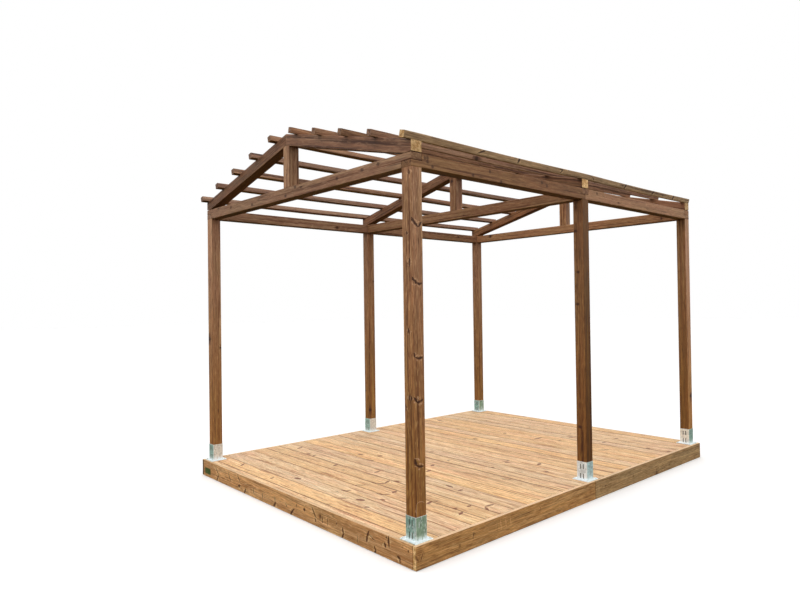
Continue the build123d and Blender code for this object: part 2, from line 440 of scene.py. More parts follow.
def strokes(place, marks):
    """Lay all the marks of one finish; return their highest mask and highest pale rim."""
    ragged_noise = cloud(place, (70, 70, 70), detail=3.0)
    ragged = minus(ragged_noise, 0.5)
    flecks = fade(cloud(place, (-55, 55, 55)), 0.44, 0.60)
    mask = pale = None
    for mark in marks:
        feeds = {"Place": place, "Ragged": ragged, "Flecks": flecks, **mark}
        node = follow("ShaderNodeGroup", feeds, node_tree=brush)
        mask = node.outputs[0] if mask is None else larger(mask, node.outputs[0])
        pale = node.outputs[1] if pale is None else larger(pale, node.outputs[1])
    broken = fade(ragged_noise, 0.34, 0.50, 0.85, 1.0)
    return times(mask, broken), pale


def round_knots(place, centres):
    """A soft mask round each centre: the distance to the nearest one, roughened at its rim."""
    flat = stretched(place, 0.72, 1.0, 1.0)
    nearest = None
    for x, y, z in centres:
        reach_here = vector_sum("DISTANCE", flat, (0.72 * x, y, z))
        nearest = reach_here if nearest is None else smaller(nearest, reach_here)
    rough = cloud(place, (90, 90, 90), detail=3.0)
    wavy = times_plus(minus(rough, 0.5), 0.016, nearest)
    return fade(wavy, 0.018, 0.006)


print("brush of", len(brush.nodes), "nodes")

# %% [markdown]
# The corner post stands nearest, so its whorls are laid one by one: each is a short dark stroke
# on the front face or on the side face. A row says where it is in millimetres, along the face and
# up it, how many degrees it turns, half its length and width, and its bend where it has one.
# The strokes of these lists were given one by one, and most were measured through the fitted camera.

# %% List the marks of the corner post


def spot_on(face, along, up_by):
    """A place on a face, from the two millimetre measures along its own axes."""
    origin, across, up_way = (Vector(part) for part in face)
    return origin + (across * along + up_way * up_by) / 1000


def strokes_on(face, rows):
    """Strokes from rows of: two measures, turn in degrees, half length, half width, bend in mm."""
    across, up_way = Vector(face[1]), Vector(face[2])
    placed = []
    for along, up_by, turn, *sizes in rows:
        angle = math.radians(turn)
        stroke = {
            "Middle": spot_on(face, along, up_by), "Facing": across.cross(up_way),
            "Along": across * math.cos(angle) + up_way * math.sin(angle),
        }
        for label, value in zip(("Half length", "Half width", "Bend"), sizes):
            stroke[label] = value / 1000
        placed.append(stroke)
    return placed


across_front, along_deck, upward = (1, 0, 0), (0, 1, 0), (0, 0, 1)
post_front = ((0, -1.945, 0), across_front, upward)
post_side = ((1.45, 0, 0), along_deck, upward)
post_marks = strokes_on(post_front, (
    (1429, 2414, -87, 18, 8.7), (1402, 2040, -80, 14, 6.2), (1423, 1858, -89, 31, 7.5),
    (1409, 1431, -86, 23, 7.5), (1405, 1025, -84, 21, 6.2), (1424, 1022, -81, 19, 7.5),
    (1374, 959, -84, 26, 4.9),
)) + strokes_on(post_side, (
    (-1940, 2116, -77, 19, 6.2), (-1925, 2105, -67, 21, 7.5), (-1906, 2089, -55, 18, 8.7),
    (-1879, 2093, 49, 25, 7.5), (-1940, 1752, -64, 18, 7.5), (-1926, 1740, -38, 22, 9.9),
    (-1888, 1725, -1, 24, 8.7, 8), (-1938, 1288, -73, 19, 6.2), (-1900, 1267, -2, 36, 8.7, 8),
    (-1932, 1015, -56, 21, 9.9), (-1897, 1000, 12, 30, 8.7, 8), (-1940, 634, -67, 26, 12.4),
    (-1905, 603, -14, 34, 7.5, 8),
))
post_arch = strokes_on(post_side, ((-1905, 388, -3, 36, 3.5, -12), (-1940, 340, 90, 40, 3.5)))
print(len(post_marks) + len(post_arch), "marks on the corner post")

# %% [markdown]
# The front fascia is full of slanting whorls, and the outermost purlin shows seven. Four broad,
# faint strokes darken parts of the fascia.

# %% List the marks of the front fascia and the edge purlin
fascia_front = ((0, -1.995, 0), across_front, upward)
fascia_marks = strokes_on(fascia_front, (
    (-1187, 97, -43, 46, 6.5, 6), (-1175, 29, -122, 46, 9.7, 6), (-934, 87, -52, 46, 6.5, 4),
    (-760, 112, -49, 39, 6.5, 4), (-747, 49, 12, 24, 11.9), (-645, 21, -116, 36, 9.7, 4),
    (-495, 58, -71, 29, 5.4, 4), (-343, 49, -99, 36, 4.3, 8), (-142, 65, -84, 27, 5.4, -4),
    (-147, 26, -133, 32, 11.9), (29, 59, -45, 21, 4.3), (112, 28, -131, 46, 9.7, 6),
    (178, 92, -77, 15, 4.3), (285, 86, 8, 17, 12.9), (411, 95, -50, 46, 7.6, 4),
    (431, 45, -56, 15, 8.6), (519, 77, -89, 20, 6.5), (522, 53, 14, 7, 6.5),
    (585, 71, -93, 31, 4.3, 2), (694, 86, 14, 8, 7.6), (766, 53, -70, 27, 8.6, 6),
    (763, 18, -117, 28, 8.6, 6), (930, 38, -85, 29, 3.2, 2), (1042, 105, -119, 29, 9.7),
    (1031, 74, -95, 24, 10.8), (1085, 92, -22, 39, 3.2, 2), (1115, 31, -55, 21, 7.6),
    (1114, 7, -129, 21, 8.6), (1249, 114, -87, 39, 9.7, 4), (1215, 83, -67, 17, 10.8),
    (1230, 134, -55, 8, 6.5), (1344, 42, -11, 20, 9.7), (1356, 28, -97, 20, 7.6),
    (1433, 105, 16, 7, 8.6),
))
fascia_shades = strokes_on(fascia_front, (
    (-1360, 70, 0, 150, 90), (1050, 72, 0, 460, 90), (120, 30, 0, 520, 30), (-950, 20, 0, 350, 24),
))
purlin_side = ((1.455, 0, 2.636), along_deck, (0.233, 0, 0.972))
purlin_marks = strokes_on(purlin_side, (
    (-1289, 0, 19, 50, 6), (-881, 0, 59, 24, 10), (-335, 0, 51, 24, 7, 4), (120, 0, -39, 20, 6),
    (655, 0, 55, 32, 11), (1172, 0, 35, 40, 9), (1591, 0, 63, 32, 12),
))
print(len(fascia_marks) + len(fascia_shades) + len(purlin_marks), "marks")

# %% [markdown]
# On the deck the knots run out in long brown tails, where a branch was cut along its length, so
# each is a stroke too. The right fascia has a few darker and paler strokes across its grain.

# %% List the marks of the side fascia and the deck
fascia_side = ((1.5, 0, 0), along_deck, upward)
side_marks = strokes_on(fascia_side, (
    (-1945, 79, -117, 28, 5), (-1986, 77, -58, 23, 6), (-1484, 83, -91, 21, 5), (-1612, 59, -7, 5, 6),
    (-1241, 94, -89, 44, 3), (1053, 45, -78, 29, 4), (1718, 77, -92, 64, 4), (-748, 101, -55, 10, 6),
    (2, 78, 90, 70, 3),
))
side_pale = strokes_on(fascia_side, (
    (-1200, 91, -84, 39, 4), (-1147, 90, -83, 37, 4), (-1095, 87, -79, 39, 4), (1119, 45, -74, 33, 4),
    (55, 79, -90, 45, 6),
))
side_shades = strokes_on(fascia_side, ((-1961, 89, 3, 41, 50),))
deck_top = ((0, 0, 0.148), across_front, along_deck)
deck_marks = strokes_on(deck_top, (
    (-1031, -1816, 131, 47, 11.6), (-442, -1847, 116, 26, 11.6), (-278, -1697, 9, 41, 23.2),
    (-1237, -1069, 112, 49, 14.5), (-853, -1153, 117, 34, 13), (-413, -1210, 113, 35, 15.9),
    (249, -1432, 50, 73, 10.1), (269, -1318, 6, 40, 10.1), (330, -1289, 49, 41, 11.6),
    (330, -1222, 117, 49, 11.6), (282, -1624, 9, 35, 13), (299, -1600, 65, 32, 8.7),
    (551, -1673, 16, 41, 23.2), (715, -1744, 38, 24, 14.5), (541, -1475, 8, 41, 11.6),
    (585, -1442, 60, 31, 10.1), (579, -1360, 107, 32, 17.4), (663, -1551, 7, 27, 14.5),
    (32, -1080, 102, 49, 11.6), (-330, -872, 10, 50, 13), (423, -1744, 43, 50, 8.7),
    (-1274, 1021, -9, 68, 17.4), (-157, -233, 68, 27, 17.4), (215, -587, 114, 30, 17.4),
    (326, -745, 106, 38, 15.9), (773, -947, -9, 46, 17.4), (908, -964, 91, 29, 13),
    (956, -1352, 110, 41, 14.5), (961, -1292, 52, 33, 10.1), (1208, -1198, 95, 25, 13),
    (1273, -1354, 115, 38, 13), (1300, -1082, 84, 45, 13), (1332, -1150, -29, 36, 11.6),
    (643, -256, 19, 15, 18.8), (860, 128, 111, 39, 18.8), (-217, 982, 83, 22, 20.3),
    (206, 1020, 87, 68, 15.9), (978, 1036, 49, 60, 14.5), (1248, 1399, 4, 26, 18.8),
    (806, 1327, 59, 20, 20.3),
))
side_count = len(side_marks) + len(side_pale) + len(side_shades)
print(side_count, "marks on the side,", len(deck_marks), "on the deck")

# %% [markdown]
# A few round knots are dark enough to be seen from afar. Only their centres are listed.

# %% List the knots that stand out
plate_side_knots = (
    (-1826, 2513), (-1804, 2516), (-1805, 2494), (-1201, 2514), (-1378, 2466), (-1761, 2468), (-595, 2513),
    (-531, 2494), (185, 2518),
)
tie_front_knots = (
    (-956, 2504), (-561, 2478), (-15, 2474), (126, 2522), (676, 2498), (964, 2507), (1133, 2516),
)
middle_post_knots = ((1397, 1853), (1388, 1589), (1380, 2192), (1392, 579))
side_fascia_knots = ((-1476, 96), (-1611, 54), (620, 71), (1310, 52))
middle_post_front = ((0, -0.04, 0), across_front, upward)
post_knots = [spot_on(middle_post_front, *knot) for knot in middle_post_knots]
plate_knots = [spot_on(post_side, *knot) for knot in plate_side_knots]
plate_knots += [spot_on(post_front, *knot) for knot in tie_front_knots]
side_knots = [spot_on(fascia_side, *knot) for knot in side_fascia_knots]
print(len(post_knots) + len(plate_knots) + len(side_knots), "knots")

# %% [markdown]
# A finish is the wood pattern with its own colours, under a soft, low gloss.
# The bump node gets the height in metres at its true size, so light rakes over real fibres.

# %% Mix the timber finishes


def timber_finish(
    name, colours, marks=(), knot_places=(), pale_marks=(), shades=(), dark=0.93, rim=0.4, **amounts
):
    """A material of grown wood with its own colours, amounts and single marks."""
    finish, shader = new_finish(name)
    tree = finish.node_tree
    pattern = lay(tree, "ShaderNodeGroup", node_tree=wood)
    labels = ("Early wood", "Late wood", "Pale streak", "Dark streak", "Knot", "Stain")
    feed(pattern, {label: (*colour, 1) for label, colour in zip(labels, colours)})
    feed(pattern, {label.replace("_", " ").capitalize(): value for label, value in amounts.items()})
    colour = pattern.outputs["Colour"]
    place = lay(tree, "ShaderNodeTexCoord").outputs["Object"]
    pale_wood = [min(1.0, 1.35 * part) for part in colours[2]]
    dark_wood = [1.1 * part for part in colours[4]]
    if knot_places:
        mask = round_knots(place, knot_places)
        colour = blended(times(mask, 0.9 * dark), colour, (*colours[4], 1))
    for soft_marks, amount, soft_colour in ((shades, 0.35, colours[3]), (pale_marks, 0.55, pale_wood)):
        if soft_marks:
            mask, pale = strokes(place, soft_marks)
            colour = blended(times(mask, amount), colour, (*soft_colour, 1))
    if marks:
        mask, pale = strokes(place, marks)
        colour = blended(times(pale, rim), colour, (*pale_wood, 1))
        colour = blended(times(mask, dark), colour, (*dark_wood, 1))
    bump = {"Height": pattern.outputs["Height"], "Strength": 1.0, "Distance": 1.0}
    feed(shader, {
        "Base Color": colour, "Roughness": pattern.outputs["Roughness"], "Specular IOR Level": 0.3,
        "Normal": follow("ShaderNodeBump", bump).outputs[0],
    })
    return finish


brown = (
    (0.366, 0.181, 0.097), (0.165, 0.063, 0.027), (0.53, 0.32, 0.180),
    (0.108, 0.036, 0.014), (0.040, 0.011, 0.005), (0.32, 0.182, 0.086),
)
grey_brown = (
    (0.250, 0.116, 0.064), (0.115, 0.049, 0.026), (0.38, 0.21, 0.12),
    (0.070, 0.026, 0.014), (0.030, 0.010, 0.006), (0.19, 0.108, 0.053),
)
olive_brown = (
    (0.475, 0.288, 0.140), (0.25, 0.14, 0.064), (0.65, 0.45, 0.24),
    (0.13, 0.060, 0.025), (0.030, 0.010, 0.006), (0.33, 0.22, 0.12),
)
honey = (
    (0.795, 0.52, 0.270), (0.59, 0.310, 0.140), (0.91, 0.67, 0.39),
    (0.38, 0.150, 0.060), (0.16, 0.042, 0.018), (0.76, 0.435, 0.252),
)
purlin_brown = (
    (0.330, 0.165, 0.096), (0.150, 0.064, 0.036), (0.47, 0.28, 0.17),
    (0.085, 0.032, 0.018), (0.030, 0.010, 0.006), (0.26, 0.150, 0.080),
)
fascia_honey = (
    (0.77, 0.415, 0.168), (0.50, 0.245, 0.088), (0.90, 0.57, 0.29),
    (0.33, 0.130, 0.046), (0.07, 0.02, 0.008), (0.56, 0.305, 0.118),
)
fascia_tan = (
    (0.55, 0.280, 0.093), (0.35, 0.162, 0.050), (0.67, 0.385, 0.155),
    (0.21, 0.078, 0.024), (0.05, 0.016, 0.007), (0.42, 0.225, 0.082),
)
fascia_olive = (
    (0.43, 0.262, 0.115), (0.28, 0.155, 0.062), (0.54, 0.36, 0.175),
    (0.17, 0.080, 0.030), (0.05, 0.016, 0.007), (0.34, 0.225, 0.105),
)
squared_amounts = {
    "ring_width": 0.0055, "rings": 0.5, "streaks": 0.9, "fibre": 0.5, "knots": 0.6, "ring_bend": 0.006,
    "knot_size": 0.11, "cracks": 0.5, "stained": 0.7, "piece_to_piece": 0.16, "hue_spread": 0.14,
}
roof_amounts = dict(squared_amounts, fresh_ends=1.0, streaks=1.0, fibre=0.7)
beam_amounts = dict(squared_amounts, streaks=0.72, dark_from=0.52, end_light=-0.12)
# The posts get painted shade at their feet, inside the shoes.
post_amounts = dict(
    squared_amounts, warm_foot=1.0, dark_below=0.2975, streaks=0.95, fibre=0.65, dark_from=0.53
)
corner_amounts = dict(post_amounts, knots=0.0, streaks=1.0, fibre=0.8, flecks=0.6)
# The deck boards get dirt and painted shade along their long edges.
deck_amounts = {
    "ring_width": 0.0085, "rings": 0.5, "streaks": 0.95, "streak_length": 0.45, "dark_from": 0.53,
    "fibre": 0.6, "flecks": 0.55, "knots": 0.5, "knot_size": 0.085, "cracks": 0.6, "stained": 0.8,
    "piece_to_piece": 0.075, "hue_spread": 0.14, "edge_dirt_and_shade": 0.68,
}
# The fascias get painted sky light on the faces that look up.
fascia_amounts = {
    "ring_width": 0.010, "rings": 0.5, "streaks": 0.8, "streak_length": 0.7, "dark_from": 0.53,
    "fibre": 0.65, "flecks": 0.6, "knots": 0.3, "knot_size": 0.10, "cracks": 0.5, "stained": 1.0,
    "piece_to_piece": 0.06, "hue_spread": 0.08, "bleached_top": 0.95,
}
sawn_amounts = dict(fascia_amounts, fresh_ends=1.0)
old_amounts = dict(fascia_amounts, end_light=-0.7)
front_amounts = dict(fascia_amounts, bleached=(0.66, 0.43, 0.24, 1))
post_finish = timber_finish("brown_post", brown, knot_places=post_knots, **post_amounts)
corner_story = {"marks": post_marks, "pale_marks": post_arch, "rim": 0.7}
corner_post_finish = timber_finish("brown_corner_post", brown, **corner_story, **corner_amounts)
beam_finish = timber_finish("brown_beam", brown, knot_places=plate_knots, dark=0.8, **beam_amounts)
king_finish = timber_finish("brown_king_post", brown, **squared_amounts)
roof_finish = timber_finish("weathered_roof_timber", grey_brown, **roof_amounts)
# The purlins get the full painted shade on their undersides.
purlin_finish = timber_finish("brown_purlin", purlin_brown, dark_under=1.0, **squared_amounts)
edge_purlin_finish = timber_finish("olive_edge_purlin", olive_brown, marks=purlin_marks, **roof_amounts)
deck_finish = timber_finish("honey_deck_board", honey, marks=deck_marks, rim=0.2, **deck_amounts)
front_story = {"marks": fascia_marks, "shades": fascia_shades}
fascia_finish = timber_finish("honey_fascia", fascia_honey, **front_story, **front_amounts)
side_story = {
    "knot_places": side_knots, "marks": side_marks, "pale_marks": side_pale, "shades": side_shades,
    "dark": 0.5,
}
side_fascia_finish = timber_finish("tan_side_fascia", fascia_tan, **side_story, **sawn_amounts)
olive_fascia_finish = timber_finish("olive_side_fascia", fascia_olive, **side_story, **old_amounts)
joist_finish = timber_finish("sawn_joist", fascia_tan, **fascia_amounts)
print("twelve timber finishes")

# %% [markdown]
# Squared timber is planed, its long edges are eased, and handling rounds every corner a little
# more. The solids already have the eased edges. Each is copied, its loose triangles are merged,
# the flat faces are joined again, and a small bevel rounds what is left. Then the grain vector,
# the tone of the piece and the mark for cut ends are written on the mesh.
#
# A tone says how light and how warm a piece is. A piece may name two: the second is for the faces
# that look sideways, along x, and the first for all others. A gap opens a joint by a few
# millimetres: it gives an axis by its number, a level on that axis and where the level moves to.

# %% Dress one timber
merge_distance = 0.00002
level_tolerance = 0.0002
worn_radius = 0.0016
end_depth = 0.004
crisp_angle = math.radians(25)
smooth_angle = math.radians(40)


def dress_timber(solid_name, along, finish, pith=0.045, short=0.0, gaps=(), tones=None):
    """Copy a solid as a finished timber that stands in its place."""
    dice = random.Random(f"{solid_name} 0")
    mesh = solids[solid_name].data.copy()
    mesh.name = solid_name + "_wood"
    mesh.materials.clear()
    mesh.materials.append(finish)
    shape = bmesh.new()
    shape.from_mesh(mesh)
    bmesh.ops.remove_doubles(shape, verts=shape.verts, dist=merge_distance)
    bmesh.ops.dissolve_limit(shape, angle_limit=math.radians(1), verts=shape.verts, edges=shape.edges)
    for number, level, moved_to in gaps:
        for corner in shape.verts:
            if abs(corner.co[number] - level) < level_tolerance:
                corner.co[number] = moved_to
    crisp = [e for e in shape.edges if len(e.link_faces) == 2 and e.calc_face_angle() > crisp_angle]
    rounding = {"offset": worn_radius, "segments": 2, "profile": 0.6, "clamp_overlap": True}
    bmesh.ops.bevel(shape, geom=crisp, affect="EDGES", **rounding)
    shape.to_mesh(mesh)
    shape.free()
    axis = Vector(along).normalized()
    reaches = [vertex.co.dot(axis) for vertex in mesh.vertices]
    for vertex, reach_here in zip(mesh.vertices, reaches):
        if short and max(reaches) - reach_here < end_depth:
            vertex.co -= axis * short
        if short and reach_here - min(reaches) < end_depth:
            vertex.co += axis * short
    side = axis.cross(Vector((0, 0, 1)) if abs(axis.z) < 0.9 else Vector((0, 1, 0))).normalized()
    third = axis.cross(side)
    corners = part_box(solid_name)
    middle = (Vector(corners[0]) + Vector(corners[1])) / 2
    shift = Vector((dice.uniform(-20, 20), dice.uniform(-pith, pith), dice.uniform(-pith, pith)))
    grain_values = []
    for vertex in mesh.vertices:
        place = vertex.co - middle
        grain_values += [place.dot(axis) + shift.x, place.dot(side) + shift.y, place.dot(third) + shift.z]
    mesh.attributes.new("grain", "FLOAT_VECTOR", "POINT").data.foreach_set("vector", grain_values)
    random_tone = (dice.uniform(-1, 1), dice.uniform(-1, 1))
    front_tone, side_tone = tones or (random_tone, random_tone)
    tone_values = []
    for face in mesh.polygons:
        tone_values += [*(side_tone if abs(face.normal.x) > 0.7 else front_tone), 0.5]
    mesh.attributes.new("tone", "FLOAT_VECTOR", "FACE").data.foreach_set("vector", tone_values)
    ends = [1.0 if abs(face.normal.dot(axis)) > 0.6 else 0.0 for face in mesh.polygons]
    mesh.attributes.new("end_cut", "FLOAT", "FACE").data.foreach_set("value", ends)
    mesh.shade_smooth()
    mesh.set_sharp_from_angle(angle=smooth_angle)
    piece = bpy.data.objects.new(solid_name + "_wood", mesh)
    scene.collection.objects.link(piece)
    shading = piece.modifiers.new("even_shading", "WEIGHTED_NORMAL")
    shading.keep_sharp = True
    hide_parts(solid_name)
    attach(piece, "root")
    return piece


# %% [markdown]
# The six posts carry everything. They are the darkest, warmest timbers.

# %% Stand the posts
sides = ("right", "left")
places = ("front", "middle", "back")
post_tones = {
    "post_right_front": ((0.75, 0.8), (0.8, 0.0)), "post_right_middle": ((-1.7, 2.2), (-3.9, 4.8)),
    "post_right_back": ((-2.1, 2.4), (4.1, -1.2)), "post_left_front": ((2.4, 0.0), (1.2, -0.6)),
    "post_left_middle": ((0.0, 0.5), (-0.4, 1.0)), "post_left_back": ((0.0, 0.5), (0.3, 0.3)),
}
for name, tones in post_tones.items():
    finish = corner_post_finish if name == "post_right_front" else post_finish
    dress_timber(name, (0, 0, 1), finish, tones=tones)
print(len(post_tones), "posts")

# %% [markdown]
# Wall plates lie along the posts, and tie beams cross them in half laps. The laps stay open by
# two or three millimetres, which draws the dark lines of the joints.

# %% Lay the wall plates and the tie beams
plate_tones = {
    "wall_plate_right_front": ((-1.85, 2.0), (-1.85, 2.0)),
    "wall_plate_right_back": ((1.25, -0.2), (1.25, -0.2)),
    "tie_beam_front": ((-0.3, -0.3), (-1.2, 0.5)), "tie_beam_middle": ((-0.7, 0.9), (-1.0, 0.5)),
    "tie_beam_back": ((0.8, 1.2), (0.6, 0.8)),
}
lap_level = 2.493
lap_gap = (2, lap_level, lap_level - 0.0025)
plate_gaps = {
    "front": (lap_gap, (1, -1.855, -1.852), (1, -0.040, -0.043), (1, 0.005, 0.0038)),
    "back": (lap_gap, (1, 1.865, 1.862), (1, 0.050, 0.053), (1, 0.005, 0.0062)),
}
for side in sides:
    for place, gaps in plate_gaps.items():
        name = f"wall_plate_{side}_{place}"
        tones = plate_tones.get(name)
        dress_timber(name, (0, 1, 0), beam_finish, gaps=gaps, tones=tones)
shoulders = ((0, -1.36, -1.357), (0, 1.36, 1.357))
for place in places:
    name = f"tie_beam_{place}"
    dress_timber(name, (1, 0, 0), beam_finish, gaps=shoulders, tones=plate_tones.get(name))
print("4 wall plates and 3 tie beams")

# %% [markdown]
# Each truss has two rafters and a king post. A rafter's grain runs down its slope, and the outer
# end of its seat stands 5 mm clear of the tie beam.

# %% Raise the trusses
pitch = math.radians(13.5)
truss_tones = {
    "king_post_front": ((2.8, -0.6), (-0.6, -0.4)), "king_post_middle": ((-0.8, 0.8), (1.2, -1.0)),
    "king_post_back": ((0.6, 1.6), (0.6, -0.8)), "rafter_front_right": ((1.0, -0.1), (-0.5, 0.2)),
    "rafter_front_left": ((-0.9, 0.8), (-0.9, 0.8)), "rafter_middle_right": ((-0.4, 1.2), (1.6, -1.0)),
    "rafter_middle_left": ((0.3, 0.8), (0.3, 0.8)), "rafter_back_right": ((1.2, 0.5), (-1.0, -0.8)),
    "rafter_back_left": ((0.8, 2.4), (0.8, 2.4)),
}
seat_top_z = 2.5425
seat_outside_x = 1.445
seat_gap = 0.005
for place in places:
    name = f"king_post_{place}"
    dress_timber(name, (0, 0, 1), king_finish, tones=truss_tones[name])
    for side, sign in (("right", 1), ("left", -1)):
        slope = (math.cos(pitch), 0, -sign * math.sin(pitch))
        name = f"rafter_{place}_{side}"
        rafter = dress_timber(name, slope, roof_finish, tones=truss_tones[name])
        for vertex in rafter.data.vertices:
            if vertex.co.z < seat_top_z and abs(vertex.co.x) > seat_outside_x:
                vertex.co.z += seat_gap
print("3 trusses")

# %% [markdown]
# Fascia boards close the deck's four sides. The side ones run past the ends of the front and
# back ones, so their sawn ends show at the corners, with a dark joint of 3 mm beside them.

# %% Nail on the fascias and set the joists
for end in ("front", "back"):
    dress_timber(f"fascia_{end}", (1, 0, 0), fascia_finish, pith=0.07, short=0.003)
side_finishes = {
    "fascia_right_front": side_fascia_finish, "fascia_right_back": olive_fascia_finish,
    "fascia_left_front": olive_fascia_finish, "fascia_left_back": side_fascia_finish,
}
end_tones = ((5.0, -1.5), (0, 0))
for name, finish in side_finishes.items():
    dress_timber(name, (0, 1, 0), finish, pith=0.07, short=0.0015, tones=end_tones)
dress_timber("deck_joists", (0, 1, 0), joist_finish)
print("6 fascias and the joists")

# %% [markdown]
# Deck boards repeat, and so do purlins: the same section, laid again at a fixed step. Geometry
# Nodes do this from a few named sizes. The tree draws the section, rounds its corners, runs it
# along a line, writes the grain on it, and lays copies on a row of points. Every copy gets its
# own place in the wood and its own tone from a fixed seed. The same tree lays both.

# %% Build the tree that lays a row of members


def new_tree(name, sizes):
    """A Geometry Nodes tree, with its inputs' identifiers for a modifier, and the inputs."""
    tree = bpy.data.node_groups.new(name, "GeometryNodeTree")
    identifiers = add_inputs(tree, sizes)
    add_outputs(tree, "Geometry", "Result")
    return tree, identifiers, lay(tree, "NodeGroupInput").outputs


def shaped(kind, feeds, **settings):
    """Lay one geometry node and return its first result."""
    return follow("GeometryNode" + kind, feeds, **settings).outputs[0]


def stored(geometry, label, value, kind, domain):
    """Write a named attribute on the geometry."""
    feeds = {"Geometry": geometry, "Name": label, "Value": value}
    return shaped("StoreNamedAttribute", feeds, data_type=kind, domain=domain)


def random_vector(low, high, seed):
    """A random vector for each copy, from a fixed seed."""
    feeds = {"Min": low, "Max": high, "Seed": seed}
    return follow("FunctionNodeRandomValue", feeds, data_type="FLOAT_VECTOR").outputs[0]


def rotation(angles):
    """A rotation from three angles."""
    return follow("FunctionNodeEulerToRotation", {0: angles}).outputs[0]


def finished(geometry, material):
    """Make copies real, give them their material, and end the tree."""
    real = shaped("RealizeInstances", {0: geometry})
    follow("NodeGroupOutput", {0: shaped("SetMaterial", {"Geometry": real, "Material": material})})


row, row_ids, size = new_tree("row_of_members", {
    "Width": 0.145, "Thickness": 0.028, "Length": 2.944, "Edge radius": 0.003, "Count": 26,
    "Start": (0, 0, 0), "Step": (0, -0.15, 0), "Turn": (0, 0, 0), "Pith spread": (20, 0.04, 0.03),
    "Pith middle": (0, 0, 0), "Unevenness": 0.0, "Seed": 1, "Sections": 2, "Sag": 0.0, "Bay": 1.0,
    "Bay start": 0.0, "Finish": (),
})

# One member: a rounded section, run along a line that may sag between supports
section = shaped("CurvePrimitiveQuadrilateral", {"Width": size["Width"], "Height": size["Thickness"]})
rounding = {"Curve": section, "Radius": size["Edge radius"], "Count": 3}
rounded = shaped("FilletCurve", rounding, mode="POLY")
half = times(size["Length"], 0.5)
line_ends = {"Start": vector_of(x=times(half, -1.0)), "End": vector_of(x=half)}
line = shaped("CurvePrimitiveLine", line_ends)
pieced = shaped("ResampleCurve", {"Curve": line, "Count": size["Sections"]})
local_place = lay(row, "GeometryNodeInputPosition").outputs[0]
bays = over(minus(parts_of(local_place)[0], size["Bay start"]), size["Bay"])
hanging = absolute(sine(times(bays, math.pi)))
drop = vector_of(z=times(hanging, times(size["Sag"], -1.0)))
sagging = shaped("SetPosition", {"Geometry": pieced, "Offset": drop})
swept = shaped("CurveToMesh", {"Curve": sagging, "Profile Curve": rounded, "Fill Caps": True})
normal_along = absolute(parts_of(lay(row, "GeometryNodeInputNormal").outputs[0])[0])
with_grain = stored(swept, "grain", local_place, "FLOAT_VECTOR", "POINT")
edge_here = over(parts_of(local_place)[1], times(size["Width"], 0.5))
with_edge = stored(with_grain, "edge_place", edge_here, "FLOAT", "POINT")
member = stored(with_edge, "end_cut", more_than(normal_along, 0.6), "FLOAT", "FACE")

# The copies: each has its own place in the wood, its own tone and a small nudge
spot_feeds = {"Count": size["Count"], "Start Location": size["Start"], "Offset": size["Step"]}
spots = shaped("MeshLine", spot_feeds, mode="OFFSET")
copy_feeds = {"Points": spots, "Instance": member, "Rotation": rotation(size["Turn"])}
laid = shaped("InstanceOnPoints", copy_feeds)
pith_low = vector_sum("SUBTRACT", size["Pith middle"], size["Pith spread"])
pith_high = vector_sum("ADD", size["Pith middle"], size["Pith spread"])
pith_shift = random_vector(pith_low, pith_high, size["Seed"])
row_tone = random_vector((-1, -1, 0), (1, 1, 1), plus(size["Seed"], 7))
shifted = stored(laid, "shift", pith_shift, "FLOAT_VECTOR", "INSTANCE")
toned_row = stored(shifted, "tone", row_tone, "FLOAT_VECTOR", "INSTANCE")
uneven = random_vector((-1, -1, -1), (1, 1, 1), plus(size["Seed"], 13))
nudge = scaled(vector_sum("MULTIPLY", uneven, (0.2, 1.0, 0.35)), size["Unevenness"])
settled = shaped("TranslateInstances", {"Instances": toned_row, "Translation": nudge})
real = shaped("RealizeInstances", {0: settled})
written = {"kind": "GeometryNodeInputNamedAttribute", "data_type": "FLOAT_VECTOR"}
own_grain = lay(row, feeds={"Name": "grain"}, **written).outputs[0]
own_shift = lay(row, feeds={"Name": "shift"}, **written).outputs[0]
full_grain = vector_sum("ADD", own_grain, own_shift)
finished(stored(real, "grain", full_grain, "FLOAT_VECTOR", "POINT"), size["Finish"])
print("row tree of", len(row.nodes), "nodes")


def run_tree(tree, ids, name, values):
    """Run a tree once on an empty mesh and keep the result as a plain mesh."""
    carrier = bpy.data.objects.new(name + "_carrier", bpy.data.meshes.new(name + "_carrier"))
    scene.collection.objects.link(carrier)
    modifier = carrier.modifiers.new("tree", "NODES")
    modifier.node_group = tree
    for label, value in values.items():
        modifier[ids[label]] = value
    evaluated = carrier.evaluated_get(bpy.context.evaluated_depsgraph_get())
    mesh = bpy.data.meshes.new_from_object(evaluated)
    mesh.name = name
    carrier.modifiers.clear()
    bpy.data.objects.remove(carrier)
    return mesh


def joined(meshes, name):
    """Join plain meshes of one kind into one object."""
    made = [bpy.data.objects.new(mesh.name, mesh) for mesh in meshes]
    for item in made:
        scene.collection.objects.link(item)
    piece = made[0]
    if len(made) > 1:
        with bpy.context.temp_override(active_object=piece, selected_editable_objects=made):
            bpy.ops.object.join()
    piece.name = name
    piece.data.name = name
    return piece

# %% [markdown]
# The boards are laid from the back: twenty-six whole ones with a 5 mm gap, and at the front one
# that had to be ripped narrow. Boards swell and sit a little unevenly, so each is nudged by up to
# a millimetre.

